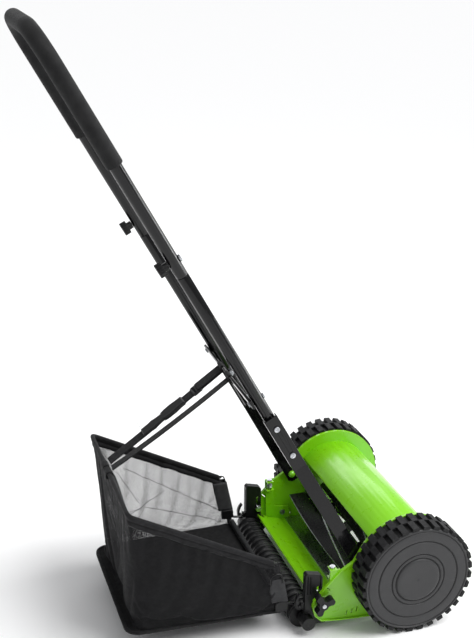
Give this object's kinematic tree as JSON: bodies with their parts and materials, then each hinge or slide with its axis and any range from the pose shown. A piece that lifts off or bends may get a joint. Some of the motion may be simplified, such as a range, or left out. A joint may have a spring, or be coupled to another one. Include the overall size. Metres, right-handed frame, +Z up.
{
  "type": "push reel mower",
  "caption": "Push reel mower: lugged wheels drive a bladed reel under a curved guard, with a rear roller, foam-gripped U handle and strap-hung mesh grass catcher.",
  "frame": {"origin": "on the ground below the middle of the whole machine's footprint", "axes": "+Z up, -Y the way the mower is pushed, +X along the wheel axles towards the operator's left"},
  "size_m": [0.4972, 0.7795, 1.1584],
  "materials": {
    "green_paint": "lime-green gloss powder coat",
    "green_cap": "lime-green moulded plastic",
    "black_paint": "gloss black powder coat",
    "zinc": "zinc-plated steel",
    "gear_steel": "machined steel, lightly oiled",
    "blade_steel": "blackened steel with a ground edge",
    "bearing_plastic": "moulded bearing plastic",
    "black_plastic": "fine-grained moulded plastic",
    "hubcap": "satin dark grey moulded plastic",
    "tyre": "moulded tread",
    "foam": "closed-cell foam sleeve",
    "mesh_fabric": "open woven mesh",
    "floor_panel": "stiff woven-faced panel",
    "webbing": "ribbed webbing"
  },
  "bodies": {
    "chassis": {"side_plate_left": "green_paint", "side_plate_right": "green_paint", "front_guard": "green_paint", "guard_bolts": "zinc", "front_tie_rod": "black_paint", "wheel_studs": "zinc", "wheel_nuts": "zinc", "reel_bearings": "bearing_plastic", "handle_pivot_bolts": "zinc", "handle_pivot_spacers": "zinc", "pivot_caps": "green_cap", "bed_plate_pins": "zinc", "adjuster_screws": "zinc", "adjuster_springs": "zinc"},
    "wheel_left": {"wheel_disc_left": "black_plastic", "tyre_left": "tyre", "hubcap_left": "hubcap"},
    "wheel_right": {"wheel_disc_right": "black_plastic", "tyre_right": "tyre", "hubcap_right": "hubcap"},
    "pinion_left": {"drive_pinion_left": "gear_steel"},
    "pinion_right": {"drive_pinion_right": "gear_steel"},
    "reel": {"reel_shaft": "gear_steel", "reel_blades": "blade_steel", "reel_spiders": "black_paint", "drive_pawls": "gear_steel"},
    "bed": {"bed_plate": "green_paint", "bed_knife": "blade_steel", "bed_knife_screws": "zinc"},
    "roller_carriage": {"roller_bracket_left": "black_plastic", "roller_bracket_right": "black_plastic", "roller_axle": "black_paint"},
    "roller": {"roller_segments": "black_plastic"},
    "height_knob_left": {"height_knob_left": "black_plastic", "height_stud_left": "zinc"},
    "height_knob_right": {"height_knob_right": "black_plastic", "height_stud_right": "zinc"},
    "handle": {"handle_arm_left": "black_paint", "handle_arm_right": "black_paint", "lower_tube_left": "black_paint", "lower_tube_right": "black_paint", "arm_screws": "zinc", "crossbrace": "black_paint", "crossbrace_screws": "zinc", "upper_handle": "black_paint", "foam_grip": "foam", "knob_bolts": "zinc"},
    "handle_knob_left": {"handle_knob_left": "black_plastic"},
    "handle_knob_right": {"handle_knob_right": "black_plastic"},
    "catcher": {"catcher_rim_wire": "black_paint", "catcher_front_wire_left": "black_paint", "catcher_front_wire_right": "black_paint", "catcher_side_wall_left": "mesh_fabric", "catcher_side_wall_right": "mesh_fabric", "catcher_rear_wall": "mesh_fabric", "catcher_floor": "floor_panel"},
    "strap": {"strap_webbing": "webbing", "strap_slider": "black_plastic", "strap_buckle": "black_plastic"}
  },
  "joints": [
    {"name": "wheel_left_spin", "type": "hinge", "parent": "chassis", "child": "wheel_left", "pos_m": [0.22, -0.2748, 0.115], "axis": [1, 0, 0], "continuous": true},
    {"name": "wheel_right_spin", "type": "hinge", "parent": "chassis", "child": "wheel_right", "pos_m": [-0.22, -0.2748, 0.115], "axis": [1, 0, 0], "continuous": true},
    {"name": "pinion_left_spin", "type": "hinge", "parent": "chassis", "child": "pinion_left", "pos_m": [0.204, -0.22779, 0.09053], "axis": [1, 0, 0], "continuous": true},
    {"name": "pinion_right_spin", "type": "hinge", "parent": "chassis", "child": "pinion_right", "pos_m": [-0.204, -0.22779, 0.09053], "axis": [1, 0, 0], "continuous": true},
    {"name": "reel_spin", "type": "hinge", "parent": "chassis", "child": "reel", "pos_m": [0, -0.22779, 0.09053], "axis": [1, 0, 0], "continuous": true},
    {"name": "bed_plate_adjust", "type": "hinge", "parent": "chassis", "child": "bed", "pos_m": [0, -0.1568, 0.046], "axis": [1, 0, 0], "range_deg": [0, 1.5]},
    {"name": "roller_height", "type": "slide", "parent": "chassis", "child": "roller_carriage", "axis": [0, 0, 1], "range_m": [-0.022, 0.006]},
    {"name": "roller_spin", "type": "hinge", "parent": "roller_carriage", "child": "roller", "pos_m": [0, -0.0718, 0.027], "axis": [1, 0, 0], "continuous": true},
    {"name": "height_knob_left_turn", "type": "hinge", "parent": "chassis", "child": "height_knob_left", "pos_m": [0.205, -0.0968, 0.072], "axis": [1, 0, 0], "continuous": true},
    {"name": "height_knob_right_turn", "type": "hinge", "parent": "chassis", "child": "height_knob_right", "pos_m": [-0.205, -0.0968, 0.072], "axis": [1, 0, 0], "continuous": true},
    {"name": "handle_tilt", "type": "hinge", "parent": "chassis", "child": "handle", "pos_m": [0, -0.1768, 0.14], "axis": [1, 0, 0], "range_deg": [0, 25]},
    {"name": "handle_knob_left_turn", "type": "hinge", "parent": "handle", "child": "handle_knob_left", "pos_m": [0.135, 0.18108, 0.74948], "axis": [0, 0.8763, -0.4818], "continuous": true},
    {"name": "handle_knob_right_turn", "type": "hinge", "parent": "handle", "child": "handle_knob_right", "pos_m": [-0.135, 0.18108, 0.74948], "axis": [0, 0.8763, -0.4818], "continuous": true},
    {"name": "catcher_swing", "type": "hinge", "parent": "roller_carriage", "child": "catcher", "pos_m": [0, -0.0588, 0.058], "axis": [1, 0, 0], "range_deg": [0, 24.5]},
    {"name": "strap_swing", "type": "hinge", "parent": "handle", "child": "strap", "pos_m": [0, 0.02545, 0.47842], "axis": [1, 0, 0], "range_deg": [-13, 0]}
  ],
  "couplings": [
    {"joint": "pinion_left_spin", "follows": "wheel_left_spin", "ratio": 5.0769},
    {"joint": "pinion_right_spin", "follows": "wheel_right_spin", "ratio": 5.0769},
    {"joint": "reel_spin", "follows": "wheel_right_spin", "ratio": 5.0769},
    {"joint": "catcher_swing", "follows": "handle_tilt", "ratio": 0.96},
    {"joint": "strap_swing", "follows": "handle_tilt", "ratio": -0.5}
  ]
}
